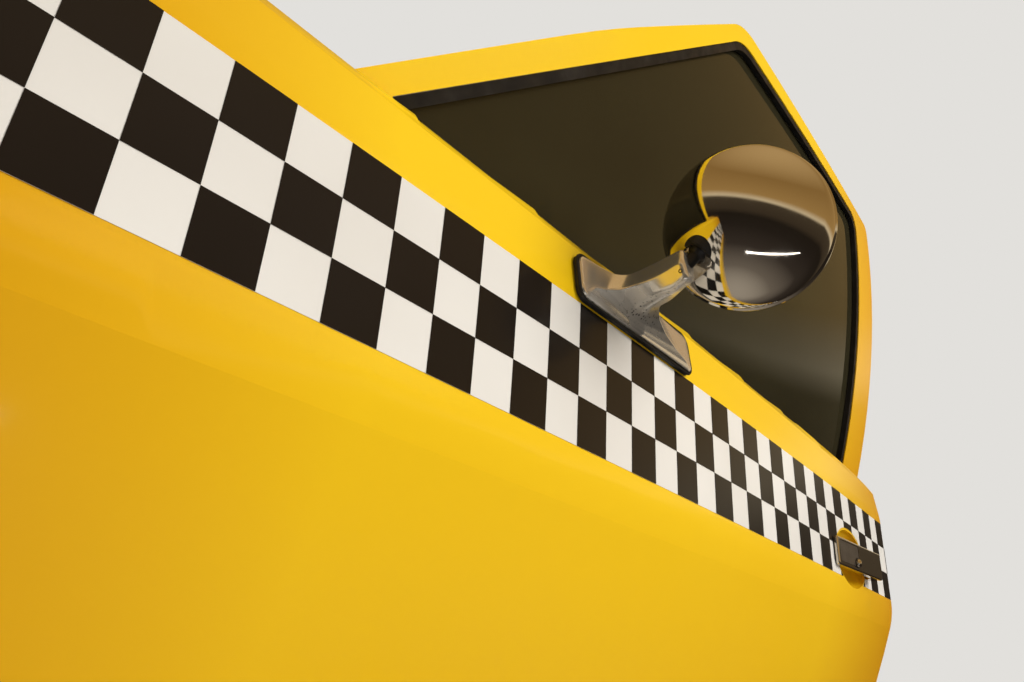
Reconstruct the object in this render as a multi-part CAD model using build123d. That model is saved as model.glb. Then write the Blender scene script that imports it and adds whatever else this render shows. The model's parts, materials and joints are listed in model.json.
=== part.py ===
from build123d import *
import os
from math import asin, atan2, ceil, cos, degrees, floor, pi, radians, sin, sqrt, tan

# Left front door of a family taxi cab, in mm. +X runs to the rear, +Y inboard and +Z up.
# The origin is the middle of the upper hinge's bolt pattern, on the face that meets the pillar.

# Driving sizes
SQUARE = 38.1  # one check of the band, so its three rows are 4.5 in tall
FRONT_X, REAR_X = -2, 1312  # ends of the outer skin
SILL_Z = -490
CREST_X, PLAN_R = 470, 15000  # the side bulges in plan, most at this x
SHEET = 2
FIT = 0.4  # gap between parts that touch

# Side profile of the skin: a flat run for the band, curves below it, and the shoulder above it
BAND_Y, BAND_Z, BAND_LEAN, BAND_RUN = -115, 29.3, 20, 3.15 * SQUARE  # the band's middle line
LOWER_R, BEND_R, BLEND_R = 1500, 110, 100
SHOULDER_LEAN, SHOULDER_RUN, ROLL_R, LEDGE_LEAN = 27.5, 35.7, 21, 85
LEDGE_Y = -50

# Window frame: an arc in side profile, tangent to FRAME_LEAN at the belt
FRAME_Y, BELT_Z, FRAME_LEAN, FRAME_R = -48, 148, 3.3, 1650
FRAME_DEPTH, FRAME_TOP = 28, 600
FRAME_REAR, GLASS_REAR = REAR_X - 12, REAR_X - 98  # ends of the frame and of the window opening
GLASS_RECESS, GLASS_T = 9, 5
SEAL_W, SEAL_GRIP = 10, 6  # width of the channel's rubber, and how far the glass goes into it
LEG_Z, GLASS_FOOT = 60, 84  # the frame's legs and the glass reach down to here inside the door
SEAL_TOP = BELT_Z - 2  # top of the wipers at the belt

# Window opening and frame seen from the side, as (x, z) where both are set
WINDOW_FOOT_X, WINDOW_SILL, WINDOW_KNEE, WINDOW_TOP = 238, (243, 147), (708, 553), 574
WINDOW_R, WINDOW_REAR_R = 90, 28
FRAME_SILL, FRAME_SLOPE, FRAME_KNEE = (206, 141), (430, 347), (712, 582)
SLOPE_R, KNEE_R, FRAME_REAR_R = 2500, 110, 14


def bulge(x):
    """How far the side comes inboard at x, from where it stands out most."""
    return PLAN_R - sqrt(PLAN_R**2 - (x - CREST_X) ** 2)


# Inner panel
WALL_INSET = 16  # from the skin's edges to the inner panel's walls
INNER_Y = FRAME_Y + FRAME_DEPTH + bulge(REAR_X) + 4.4  # its inboard face clears the frame
STEP_INSET, STEP_Y, INNER_TOP = 44, -12, 132
STRIKER_Y, STRIKER_Z = (-48, -10), (-69, -51)  # slot in the rear wall for the body's striker

# Hinges
HINGE_Z = (0, -370)
PIN_X, PIN_Y, PIN_R, KNUCKLE_R = 34, -65, 5, 10.5
LEAF_H, LEAF_T, POCKET_BACK = 60, 6, 66
BOLT_Y, BOLT_Z, BOLT_R = 40, 36, 4.5

# Mirror, from the door outwards
FOOT_X, FOOT_UP = 515, 80  # middle of the foot, and how far it is up the side from the band's middle
BALL_AT, BALL_R, CUP_T = (485, -150, 156), 9, 4
HEAD_AT, HEAD_R, HEAD_DEPTH, HEAD_CORNER = (514, -166, 192), 67, 44, 26
LOOK = Vector(0.92, 0.33, 0.21).normalized()  # the mirror glass faces this way

# Outside handle
HANDLE_X, HANDLE_UP, HANDLE_L, HANDLE_H = REAR_X - 214, -29, 158, 36
HANDLE_LOW, HANDLE_HIGH, HANDLE_T = 6, 20, 8  # its face's height at each end, and its thickness
SCOOP_L, SCOOP_H, SCOOP_DEPTH = 66, 37, 17  # half axes of the finger bowl

# Inside fittings, as (x, z) where both are set
CARD_INSET, CARD_UP, CARD_T = 52, 60, 7
ARMREST_X, ARMREST_Z, ARMREST_DEPTH = (560, 920), (-150, -92), 62
RELEASE_AT, BEZEL_L, BEZEL_H = (REAR_X - 282, 40), 130, 60
CRANK_AT, CRANK_L = (430, -20), 118
LOCK_X, LOCK_R, LOCK_STEM_R = GLASS_REAR - 44, 5.5, 4

AXIS = Axis((CREST_X, BAND_Y + PLAN_R, 0), (0, 0, 1))
SIDE = Plane(origin=(CREST_X, 0, 0), x_dir=(0, 1, 0), z_dir=(1, 0, 0))
HALF_TURN = degrees(asin((REAR_X - CREST_X + 40) / PLAN_R))
nodes = {}


def on_arc(centre, r, lean):
    return (centre[0] - r * cos(radians(lean)), centre[1] + r * sin(radians(lean)))


def arc(centre, r, lean0, lean1):
    return ThreePointArc(*(on_arc(centre, r, a) for a in (lean0, (lean0 + lean1) / 2, lean1)))


def on_band(up, out):
    """Point (y, z) up the band's flat from its middle line, and out from it."""
    lean = radians(BAND_LEAN)
    return (
        BAND_Y + up * sin(lean) - out * cos(lean),
        BAND_Z + up * cos(lean) + out * sin(lean),
    )


def side_edges(t, ledge_y):
    """The skin's side profile moved inboard by t, in (y, z), from below the sill to ledge_y."""
    lean = radians(SHOULDER_LEAN)
    a, b = on_band(-BAND_RUN / 2, -t), on_band(BAND_RUN / 2, -t)
    bend, blend = on_band(-BAND_RUN / 2, -BEND_R), on_band(BAND_RUN / 2, -BLEND_R)
    low = (bend[0] - BEND_R + LOWER_R, bend[1])
    start = -degrees(asin((low[1] - SILL_Z + 30) / LOWER_R))
    c = on_arc(blend, BLEND_R - t, SHOULDER_LEAN)
    d = (c[0] + SHOULDER_RUN * sin(lean), c[1] + SHOULDER_RUN * cos(lean))
    roll = (d[0] + (ROLL_R - t) * cos(lean), d[1] - (ROLL_R - t) * sin(lean))
    e = on_arc(roll, ROLL_R - t, LEDGE_LEAN)
    f = (ledge_y, e[1] + (ledge_y - e[0]) / tan(radians(LEDGE_LEAN)))
    return [
        arc(low, LOWER_R - t, start, 0),
        arc(bend, BEND_R - t, 0, BAND_LEAN),
        Line(a, b),
        arc(blend, BLEND_R - t, BAND_LEAN, SHOULDER_LEAN),
        Line(c, d),
        arc(roll, ROLL_R - t, SHOULDER_LEAN, LEDGE_LEAN),
        Line(e, f),
    ]


def bulged(face):
    """Sweeps a (y, z) face along the door on the plan curve."""
    return revolve((SIDE * face).rotate(AXIS, -HALF_TURN), AXIS, 2 * HALF_TURN)


def between(outer, inner):
    """Face between two lines of edges that run the same way."""
    a, b = outer[0] @ 0, inner[0] @ 0
    c, d = outer[-1] @ 1, inner[-1] @ 1
    return make_face([*outer, *inner, Line(a, b), Line(c, d)])


def skin_shell(t0, t1, ledge_y):
    return bulged(between(side_edges(t0, ledge_y), side_edges(t1, ledge_y)))


def inside(t):
    """Everything inboard of the skin's profile moved inboard by t."""
    edges = side_edges(t, 60)
    top, bottom = edges[-1] @ 1, edges[0] @ 0
    far = 260
    return bulged(make_face([*edges, Polyline(top, (far, top.Y), (far, bottom.Y), bottom)]))


def frame_shell(t0, t1, z0, z1):
    """Part of the window's curved surface between depths t0 and t1."""
    lean = radians(FRAME_LEAN)
    centre = (FRAME_Y + FRAME_R * cos(lean), BELT_Z - FRAME_R * sin(lean))
    leans = [degrees(asin((z - centre[1]) / FRAME_R)) for z in (z0, z1)]
    return bulged(between([arc(centre, FRAME_R - t0, *leans)], [arc(centre, FRAME_R - t1, *leans)]))


def on_side(x, up):
    """Plane on the band or the shoulder at x, up from the band's middle; its z points out."""
    past = up - BAND_RUN / 2 - BLEND_R * radians(SHOULDER_LEAN - BAND_LEAN)
    if past < 0:
        lean, (y, z) = radians(BAND_LEAN), on_band(up, 0)
    else:
        lean = radians(SHOULDER_LEAN)
        y, z = on_arc(on_band(BAND_RUN / 2, -BLEND_R), BLEND_R, SHOULDER_LEAN)
        y, z = y + past * sin(lean), z + past * cos(lean)
    r = PLAN_R - (y - BAND_Y)
    turn = asin((x - CREST_X) / r)
    out = (sin(turn) * cos(lean), -cos(turn) * cos(lean), sin(lean))
    return Plane(
        origin=(x, BAND_Y + PLAN_R - r * cos(turn), z), x_dir=(cos(turn), sin(turn), 0), z_dir=out
    )


def rounded(points, radii):
    """Face inside the points, each corner rounded by its radius."""
    face = make_face(Polyline(*points, close=True)).face()
    for point, r in zip(points, radii):
        if r:
            corner = min(face.vertices(), key=lambda v: (v.X - point[0]) ** 2 + (v.Y - point[1]) ** 2)
            face = face.fillet_2d(r, [corner])
    return face


def box_face(x0, x1, z0, z1):
    return rounded([(x0, z0), (x1, z0), (x1, z1), (x0, z1)], [0] * 4)


def slab(face, y0=-300, y1=300):
    """Extrudes an (x, z) face from y0 to y1."""
    return extrude(Plane(origin=(0, y1, 0), x_dir=(1, 0, 0), z_dir=(0, -1, 0)) * face, y1 - y0)


def block(x0, x1, y0, y1, z0, z1):
    return Pos((x0 + x1) / 2, (y0 + y1) / 2, (z0 + z1) / 2) * Box(x1 - x0, y1 - y0, z1 - z0)


def outline(inset, top):
    """Door seen from the side, below the window, moved in by inset."""
    x0, x1, z0 = FRONT_X + inset, REAR_X - inset, SILL_Z + inset
    r = max(42 - inset, 10)
    return rounded([(x0, z0), (x1, z0), (x1, top), (x0, top)], [r, r, 0, 0])


def window(inset):
    """Window opening seen from the side, moved in by inset; it runs on down into the door."""
    x, sill = GLASS_REAR, WINDOW_SILL[1]
    face = rounded(
        [(WINDOW_FOOT_X, LEG_Z), WINDOW_SILL, WINDOW_KNEE, (x, WINDOW_TOP), (x, sill), (x, LEG_Z)],
        [0, 0, WINDOW_R, WINDOW_REAR_R, 0, 0],
    )
    return offset(face, -inset, kind=Kind.INTERSECTION) if inset else face


def frame_outline():
    x = FRAME_REAR
    face = rounded(
        [FRAME_SILL, FRAME_SLOPE, FRAME_KNEE, (x, FRAME_TOP), (x, FRAME_SILL[1])],
        [0, SLOPE_R, KNEE_R, FRAME_REAR_R, 0],
    )
    starts = WINDOW_FOOT_X - 16, GLASS_REAR - 20
    legs = [slab(box_face(x0, x0 + 40, LEG_Z, FRAME_SILL[1] + 4)) for x0 in starts]
    return slab(face) + legs


def scoop(grow):
    """Oval finger bowl behind the outside handle."""
    bowl = scale(Sphere(1), by=(SCOOP_L + grow, SCOOP_H + grow, SCOOP_DEPTH + grow))
    return on_side(HANDLE_X, HANDLE_UP) * bowl


def outer_skin():
    skin = skin_shell(0, SHEET, INNER_Y) & slab(outline(0, 170))
    skin -= block(205, REAR_X + 20, LEDGE_Y, 60, 100, 200)
    skin -= scoop(SHEET)
    bowl = (scoop(SHEET) - scoop(0)) & inside(0)
    return skin + bowl


def inner_panel():
    top = INNER_TOP
    steps = [(WALL_INSET, STEP_Y), (STEP_INSET, INNER_Y)]
    tray = [slab(outline(inset - SHEET, top), -200, y) for inset, y in steps]
    hollow = [slab(outline(inset, top - SHEET), -220, y - SHEET) for inset, y in steps]
    panel = ((tray[0] + tray[1]) & inside(SHEET + FIT)) - hollow[0] - hollow[1]
    back = POCKET_BACK
    for z in HINGE_Z:
        z0, z1 = z - LEAF_H / 2 - 18, z + LEAF_H / 2 + 18
        panel += block(WALL_INSET - SHEET - 2, back + SHEET, -90, STEP_Y, z0 - SHEET, z1 + SHEET)
        panel -= block(-20, back, -88, STEP_Y - SHEET, z0, z1)
    slot = bulged(box_face(-54, -16, top - 9, top + 9))
    panel -= slot & block(205, GLASS_REAR + 22, -100, 50, top - 9, top + 9)
    return panel - block(REAR_X - 40, REAR_X, *STRIKER_Y, *STRIKER_Z)


def checks():
    """Columns and rows of the band: (x0, x1, foot, head, is_black)."""
    ends = FRONT_X + 1, REAR_X - 1
    first, last = floor((ends[0] - CREST_X) / SQUARE), ceil((ends[1] - CREST_X) / SQUARE)
    for k in range(first, last):
        x0, x1 = max(CREST_X + k * SQUARE, ends[0]), min(CREST_X + (k + 1) * SQUARE, ends[1])
        for r in range(3):
            head = (1.5 - r) * SQUARE
            yield x0, x1, head - SQUARE, head, (k + r) % 2 == 1


def film(out, foot, head, x0, x1):
    """Thin patch of the band whose inner side stands out off the skin."""
    sides = (foot, out), (head, out), (head, out + 0.25), (foot, out + 0.25)
    sheet = make_face(Polyline(*(on_band(*side) for side in sides), close=True))
    return bulged(sheet) & block(x0, x1, -200, 0, -100, 200)


def band():
    half = 1.5 * SQUARE
    hole = scoop(SHEET + 1)
    white = film(0.1, -half, half, FRONT_X + 1, REAR_X - 1) - hole
    black = []
    for x0, x1, foot, head, dark in checks():
        if dark:
            patch = film(0.4, foot + 0.05, head - 0.05, x0 + 0.05, x1 - 0.05)
            near = abs((x0 + x1) / 2 - HANDLE_X) < SCOOP_L + SQUARE
            black += (patch - hole if near else patch).solids()
    return white, Compound(black)


def window_frame():
    shell = frame_shell(0, FRAME_DEPTH, LEG_Z, FRAME_TOP + 60)
    return (shell & frame_outline()) - slab(window(0))


def glass():
    pane = frame_shell(GLASS_RECESS, GLASS_RECESS + GLASS_T, GLASS_FOOT, FRAME_TOP)
    return pane & slab(window(SEAL_W - SEAL_GRIP))


def run_seal():
    ring = slab(window(FIT)) - slab(window(SEAL_W))
    top = FRAME_TOP + 40
    groove = frame_shell(GLASS_RECESS - FIT, GLASS_RECESS + GLASS_T + FIT, LEG_Z, top)
    seal = frame_shell(1.5, FRAME_DEPTH - 3, GLASS_FOOT, top) & ring
    return seal - (groove & slab(window(SEAL_W - SEAL_GRIP - FIT)))


def belt_seals():
    pane = FRAME_Y + GLASS_RECESS, FRAME_Y + GLASS_RECESS + GLASS_T
    for name, y0, y1, z0 in (
        ("outer", LEDGE_Y + 0.6, pane[0] - 1.6, SEAL_TOP - 15),
        ("inner", pane[1] + 0.6, FRAME_Y + FRAME_DEPTH + 1, SEAL_TOP - 22),
    ):
        face = rounded([(y0, z0), (y1, z0), (y1, SEAL_TOP), (y0, SEAL_TOP)], [0, 0, 3, 3])
        yield name, bulged(face) & block(270, GLASS_REAR - 16, -100, 50, 100, 200)


def weatherstrip():
    a, b = WALL_INSET + 2, STEP_INSET - 8
    ring = slab(outline(a, 120), STEP_Y + FIT, STEP_Y + 11) - slab(outline(b, 200), STEP_Y, STEP_Y + 20)
    return fillet(ring.edges().group_by(Axis.Y)[-1], 4)


def hinge(z):
    """Pillar leaf, door leaf and pin of the hinge at height z."""
    pin_at = Pos(PIN_X, PIN_Y, z)
    plate = block(0, LEAF_T, -36, 36, z - LEAF_H / 2, z + LEAF_H / 2)
    plate = fillet(plate.edges().filter_by(Axis.X), 8)
    arm = make_face(Polyline((0, -36), (0, -26), (LEAF_T, -26), (38, -57), (30, -69), close=True))
    pillar = plate + Pos(0, 0, z - 12) * extrude(arm, 24) + pin_at * Cylinder(KNUCKLE_R, 24)
    for dy in (-BOLT_Y / 2, BOLT_Y / 2):
        for dz in (-BOLT_Z / 2, BOLT_Z / 2):
            pillar -= Pos(LEAF_T / 2, dy, z + dz) * Rot(0, 90, 0) * Cylinder(BOLT_R, 20)
    pillar -= pin_at * Cylinder(PIN_R + 0.05, 60)
    back = POCKET_BACK - FIT
    door = block(back - LEAF_T, back, -77, -22, z - LEAF_H / 2, z + LEAF_H / 2)
    door = fillet(door.edges().filter_by(Axis.X), 6)
    for z0 in (z + 12.5, z - 28):
        ear = block(PIN_X, back - 2, PIN_Y - 9, PIN_Y + 9, z0, z0 + 15.5)
        door += ear + Pos(PIN_X, PIN_Y, z0 + 7.75) * Cylinder(KNUCKLE_R, 15.5)
    door -= pin_at * Cylinder(PIN_R, 80)
    pin = pin_at * Cylinder(PIN_R, 58) + Pos(PIN_X, PIN_Y, z + 31) * Cylinder(7.5, 4)
    return pillar, door, pin


def mirror_foot():
    """Flared foot: six-sided sections from the base up to the nose, and the rubber under it."""
    base = on_side(FOOT_X, FOOT_UP)
    # Each row is the height above the side, then the corners: front top, front, lower front,
    # lower rear, upper rear and top, as (along the door, up the side)
    sections = (
        (6, ((-84, 17), (-84, -6), (-10, -18), (82, -3), (60, 15), (-20, 18))),
        (9, ((-60, 16), (-74, -6), (-14, -16), (47, -4), (30, 14), (-20, 17))),
        (14, ((-49, 15), (-64, -6), (-20, -14.5), (28, -5), (14, 13), (-22, 16))),
        (23, ((-42, 15), (-57, -6), (-28, -14), (4, -5), (-4, 12), (-24, 15))),
        (34, ((-41, 15), (-55, -6), (-36, -15), (-12, -5), (-14, 12), (-26, 15))),
        (48, ((-41, 16), (-52, -5), (-43, -15), (-22, -5), (-22, 12), (-31, 16))),
        (63, ((-42, 17), (-48, -2), (-43, -14), (-30, -5), (-28, 11), (-33, 17))),
        (72, ((-43, 17), (-44, 3), (-40, -11), (-33, -5), (-31, 9), (-35, 16))),
    )
    faces = [
        base * Pos(0, 0, height) * make_face(Polyline(*corners, close=True))
        for height, corners in sections
    ]
    plinth = base * Pos(3, 0, 3.2) * extrude(RectangleRounded(182, 38, 9), 3)
    gasket = base * Pos(3, 0, -2) * extrude(RectangleRounded(188, 43, 11), 5.2)
    return loft(faces, ruled=True) + plinth, gasket - inside(-0.9)


def bowl_profile(t):
    """Half of the mirror shell's profile moved in by t: a shallow crown and a round corner."""
    r, depth, corner = HEAD_R, HEAD_DEPTH, HEAD_CORNER
    crown = ((r - corner) ** 2 + depth**2 - corner**2) / (2 * (depth - corner))
    lean = atan2(r - corner, crown - depth)
    return [
        polar_arc((0, crown - depth), crown - t, -pi / 2, lean - pi / 2),
        polar_arc((r - corner, 0), corner - t, lean - pi / 2, 0),
    ]


def polar_arc(centre, r, start, end):
    points = [
        (centre[0] + r * cos(a), centre[1] + r * sin(a)) for a in (start, (start + end) / 2, end)
    ]
    return ThreePointArc(*points)


def turned(*edges):
    """Revolves a closed (radius, height) profile about the height's axis."""
    return revolve(Plane.XZ * make_face(edges), Axis.Z)


def ball_joint(base):
    """Ball on its stem out of the foot's nose, and the cup round it."""
    nose = base.from_local_coords((-37, 3, 68))
    run = Vector(*BALL_AT) - nose
    reach, stem_r, lip = run.length, 5.5, 3.5
    neck = asin(stem_r / BALL_R) - pi / 2
    stem_top = reach + BALL_R * sin(neck)
    ball = turned(
        Polyline((0, reach + BALL_R), (0, 0), (stem_r, 0), (stem_r, stem_top)),
        polar_arc((0, reach), BALL_R, neck, pi / 2),
    )
    bore, wall = BALL_R + FIT, BALL_R + CUP_T
    starts = [-asin(lip / r) for r in (bore, wall)]
    cup = turned(
        polar_arc((0, reach), bore, starts[0], pi / 2),
        Line((0, reach + bore), (0, reach + wall)),
        polar_arc((0, reach), wall, starts[1], pi / 2),
        Line((bore * cos(starts[0]), reach - lip), (wall * cos(starts[1]), reach - lip)),
    )
    along = Plane(origin=nose, z_dir=run)
    return along * ball, along * cup


def mirror_head():
    """Domed shell, rim, glass and the ball joint that carries them."""
    seat = Plane(origin=HEAD_AT, x_dir=(0, 0, 1), z_dir=LOOK)
    r, wall = HEAD_R, 1.5
    dome = turned(
        *bowl_profile(0),
        *bowl_profile(wall),
        Line((0, -HEAD_DEPTH), (0, wall - HEAD_DEPTH)),
        Line((r, 0), (r - wall, 0)),
    )
    ring = Pos(0, 0, 3.4) * (Cylinder(r + 1.5, 6) - Cylinder(r - 4.5, 6))
    ring = chamfer(ring.edges().group_by(Axis.Z)[0] + ring.edges().group_by(Axis.Z)[-1], 1.8)
    disc = Pos(0, 0, 2.8) * Cylinder(r - 5, 2.5)
    room = Pos(*BALL_AT) * Sphere(BALL_R + CUP_T + 0.3)
    return seat * dome - room, seat * ring, seat * disc, *ball_joint(on_side(FOOT_X, FOOT_UP))


def outside_handle():
    """Grip that rises to the rear over the bowl on two feet, its dark pad and the push button."""
    seat, half, base = on_side(HANDLE_X, HANDLE_UP), HANDLE_L / 2, 1.6
    rise = (HANDLE_HIGH - HANDLE_LOW) / HANDLE_L
    low_x, high_x = 13 - half, half - 19  # inner ends of the feet
    profile = Polyline(
        (-half, base),
        (-half, HANDLE_LOW),
        (half, HANDLE_HIGH),
        (half, base),
        (high_x, base),
        (high_x - 5, HANDLE_HIGH - 24 * rise - HANDLE_T),
        (low_x + 22, HANDLE_LOW + 35 * rise - HANDLE_T),
        (low_x, base),
        close=True,
    )
    grip = Pos(0, HANDLE_H / 2, 0) * extrude(Plane.XZ * make_face(profile), HANDLE_H)
    front = Pos(0, 0, (HANDLE_LOW + HANDLE_HIGH) / 2) * Rot(0, -degrees(atan2(rise, 1)), 0)
    grip = fillet(grip.edges().filter_by(Axis.Z), 3.5)
    grip = fillet(grip.faces().sort_by(Axis.Z)[-1].edges(), 2)
    pad_at, pad_l, button = front * Pos(-0.25 * HANDLE_L, 1, 0), 0.42 * HANDLE_L, front * Pos(-15, -8, 0)
    grip -= pad_at * extrude(RectangleRounded(pad_l, HANDLE_H - 9, 3), -1.6)
    grip -= button * Cylinder(5.8, 8)
    pad = pad_at * Pos(0, 0, -1.4) * extrude(RectangleRounded(pad_l - 1, HANDLE_H - 10, 2.5), 0.8)
    pad -= button * Cylinder(6.3, 8)
    lock = button * (Pos(0, 0, -3.6) * extrude(Circle(5.5), 6) - Pos(0, 0, 2.4) * Box(6, 1.2, 3))
    pads = [
        Pos((x0 + x1) / 2, 0, 0.9) * extrude(RectangleRounded(x1 - x0 + 3, HANDLE_H - 2, 5), 0.6)
        for x0, x1 in ((-half, low_x), (high_x, half))
    ]
    return seat * grip, seat * pad, seat * lock, seat * Compound(pads)


def latch():
    """Latch case inside the rear wall, its plate, and the fork that takes the striker."""
    x, z = REAR_X - WALL_INSET + SHEET, sum(STRIKER_Z) / 2
    case = block(x - 40, x - SHEET - FIT, -75, -22, z - 45, z + 45)
    plate = block(x + FIT, x + FIT + 3, -80, -20, z - 50, z + 50)
    slot = block(x - 60, x + 20, *STRIKER_Y, *STRIKER_Z)
    fork = Cylinder(17, 7) - Pos(10, 14, 0) * Box(9, 34, 9) + Cylinder(5, 18)
    fork = Pos(x - 22, -48, z) * fork
    room = Pos(x - 22, -48, z) * Cylinder(19, 18)
    return (case - slot - room), fillet(plate.edges().filter_by(Axis.X), 6) - slot, fork


def inside_fittings():
    """Trim panel and what is on it."""
    face = INNER_Y + FIT
    x0, x1, z0, z1 = FRONT_X + CARD_INSET, REAR_X - CARD_INSET, SILL_Z + CARD_UP, INNER_TOP + 6
    trim = slab(rounded([(x0, z0), (x1, z0), (x1, z1), (x0, z1)], [30] * 4), face, face + CARD_T)
    front = face + CARD_T + FIT

    rest = block(*ARMREST_X, front, front + ARMREST_DEPTH, *ARMREST_Z)
    rest = fillet(rest.edges().filter_by(Axis.Y) + rest.faces().sort_by(Axis.Y)[-1].edges(), 10)
    grip_x, top = (ARMREST_X[0] + 60, ARMREST_X[0] + 200), ARMREST_Z[1]
    rest -= block(*grip_x, front + 14, front + 40, top - 28, top + 32)

    x, z = RELEASE_AT
    bezel = block(x + 30 - BEZEL_L, x + 30, front, front + 6, z - BEZEL_H / 2, z + BEZEL_H / 2)
    bezel = fillet(bezel.edges().filter_by(Axis.Y), 14)
    lever = Pos(x, front + 14.4, z) * Rot(90, 0, 0) * Cylinder(13, 16)
    lever += fillet(block(x - 85, x, front + 12, front + 22, z - 9, z + 9).edges(), 3)

    x, z = CRANK_AT
    hub = Pos(x, front + 9, z) * Rot(90, 0, 0) * Cylinder(17, 18)
    arm = block(x, x + CRANK_L + 12, front + 18, front + 28, z - 9, z + 9)
    knob = Pos(x + CRANK_L, front + 41.4, z) * Rot(90, 0, 0) * Cylinder(11, 26)

    side = FRAME_Y + FRAME_DEPTH + 1 + bulge(LOCK_X)
    at = Pos(LOCK_X, side + LOCK_STEM_R + 0.7, INNER_TOP + FIT)
    button = at * Pos(0, 0, 17) * Cylinder(LOCK_STEM_R, 34)
    button += at * Pos(0, 0, 27.6) * Cylinder(LOCK_R, 14)
    return trim, rest, bezel, lever, hub + fillet(arm.edges(), 3.5), chamfer(knob.edges(), 3), button


def build():
    nodes["outer_skin"] = outer_skin()
    nodes["inner_panel"] = inner_panel()
    nodes["checker_band_white"], nodes["checker_band_black"] = band()
    nodes["window_frame"] = window_frame()
    nodes["window_glass"] = glass()
    nodes["run_channel_seal"] = run_seal()
    for name, seal in belt_seals():
        nodes[f"belt_seal_{name}"] = seal
    nodes["door_weatherstrip"] = weatherstrip()
    for where, z in zip(("upper", "lower"), HINGE_Z):
        names = (f"hinge_{where}_pillar_leaf", f"hinge_{where}_door_leaf", f"hinge_{where}_pin")
        nodes.update(zip(names, hinge(z)))
    nodes["mirror_foot"], nodes["mirror_gasket"] = mirror_foot()
    names = ("mirror_shell", "mirror_rim", "mirror_glass", "mirror_ball", "mirror_socket")
    nodes.update(zip(names, mirror_head()))
    nodes["mirror_foot"] -= nodes["mirror_ball"]
    names = ("handle_grip", "handle_pad", "handle_lock", "handle_gasket")
    nodes.update(zip(names, outside_handle()))
    nodes.update(zip(("latch_case", "latch_plate", "latch_fork"), latch()))
    names = ("trim_panel", "armrest", "release_bezel", "release_lever", "window_crank", "crank_knob")
    nodes.update(zip((*names, "lock_button"), inside_fittings()))


build()
os.makedirs("parts", exist_ok=True)
for name, shape in nodes.items():
    export_step(shape, f"parts/{name}.step")
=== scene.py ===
import json
from math import cos, pi, radians, sin, sqrt

import bmesh
import bpy
from mathutils import Matrix, Vector
from mathutils.bvhtree import BVHTree

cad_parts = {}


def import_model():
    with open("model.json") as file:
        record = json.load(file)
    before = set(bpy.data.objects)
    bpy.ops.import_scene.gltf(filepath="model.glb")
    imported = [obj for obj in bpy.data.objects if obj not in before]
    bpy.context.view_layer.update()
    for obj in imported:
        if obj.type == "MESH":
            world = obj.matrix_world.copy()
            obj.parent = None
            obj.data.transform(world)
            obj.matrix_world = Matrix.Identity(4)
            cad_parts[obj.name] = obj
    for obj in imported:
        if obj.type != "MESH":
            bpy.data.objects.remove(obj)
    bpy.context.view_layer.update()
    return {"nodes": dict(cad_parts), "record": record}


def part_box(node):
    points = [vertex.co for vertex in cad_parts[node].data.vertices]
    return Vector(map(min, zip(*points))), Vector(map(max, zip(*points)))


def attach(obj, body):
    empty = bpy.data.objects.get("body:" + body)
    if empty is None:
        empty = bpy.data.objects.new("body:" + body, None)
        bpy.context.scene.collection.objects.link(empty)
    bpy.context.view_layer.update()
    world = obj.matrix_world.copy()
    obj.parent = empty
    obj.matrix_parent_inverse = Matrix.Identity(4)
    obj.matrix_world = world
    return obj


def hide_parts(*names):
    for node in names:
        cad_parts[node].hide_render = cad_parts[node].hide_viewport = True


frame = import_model()
nodes = frame["nodes"]

# Sizes are in metres: +X runs to the rear, +Y inboard and +Z up
FORWARD, REARWARD, INBOARD = Vector((-1, 0, 0)), Vector((1, 0, 0)), Vector((0, 1, 0))
FLOOR_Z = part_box("outer_skin")[0][2]
DOOR_FRONT, DOOR_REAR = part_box("outer_skin")[0][0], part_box("outer_skin")[1][0]

# Shape of the side below the window: where it bulges most in plan and how much, then the middle
# of the band's flat, its lean and its height in squares, then the shoulder above it
SQUARE, CREST_X, PLAN_R = 0.0381, 0.470, 15.0
BAND_Y, BAND_Z, BAND_LEAN, BAND_RUN = -0.115, 0.0293, radians(20), 3.15 * SQUARE
SHOULDER_LEAN, BLEND_R = radians(27.5), 0.100

# Mirror foot: its place, and the lip of the rubber under it, outside the foot's base
FOOT_X, FOOT_UP = 0.515, 0.080
BASE_SHIFT, BASE_L, BASE_W, BASE_R = 0.003, 0.182, 0.038, 0.009
LIP_OUT, LIP_R, LIP_UP, LIP_STEPS = 0.0024, 0.0013, 0.0034, 8

# How the foot's sections are drawn: sections between two rows, points on a corner, and the
# largest share of a side that the easing of a corner may take
FOOT_STEPS, EASE_STEPS, EASE_MOST, MM_PER_M = 6, 8, 0.4, 1000

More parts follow.
